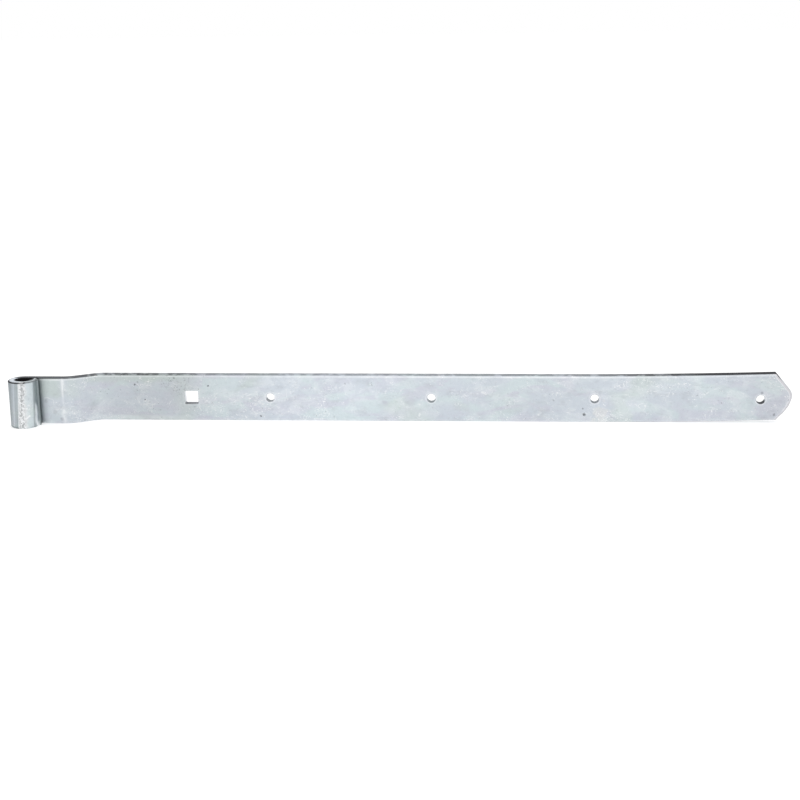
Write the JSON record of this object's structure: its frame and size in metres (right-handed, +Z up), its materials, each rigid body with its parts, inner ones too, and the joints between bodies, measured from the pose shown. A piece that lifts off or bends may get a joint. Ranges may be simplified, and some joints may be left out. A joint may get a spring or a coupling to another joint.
{
  "type": "cranked strap hinge band",
  "caption": "Long galvanised steel strap for a gate or shutter, rolled into an eye, cranked beside it and cut to a blunt point, with screw holes and a square bolt hole.",
  "frame": {"origin": "middle of the eye's bore, on its axis", "axes": "+Z up the bore's axis, across the strap's width; +X along the strap to its tip; +Y to the strap's back, away from the roll"},
  "size_m": [0.815, 0.046, 0.0531],
  "materials": {
    "galvanised_steel": "hot-dip galvanised, satin, softly mottled"
  },
  "bodies": {
    "root": {"band": "galvanised_steel"}
  },
  "joints": []
}
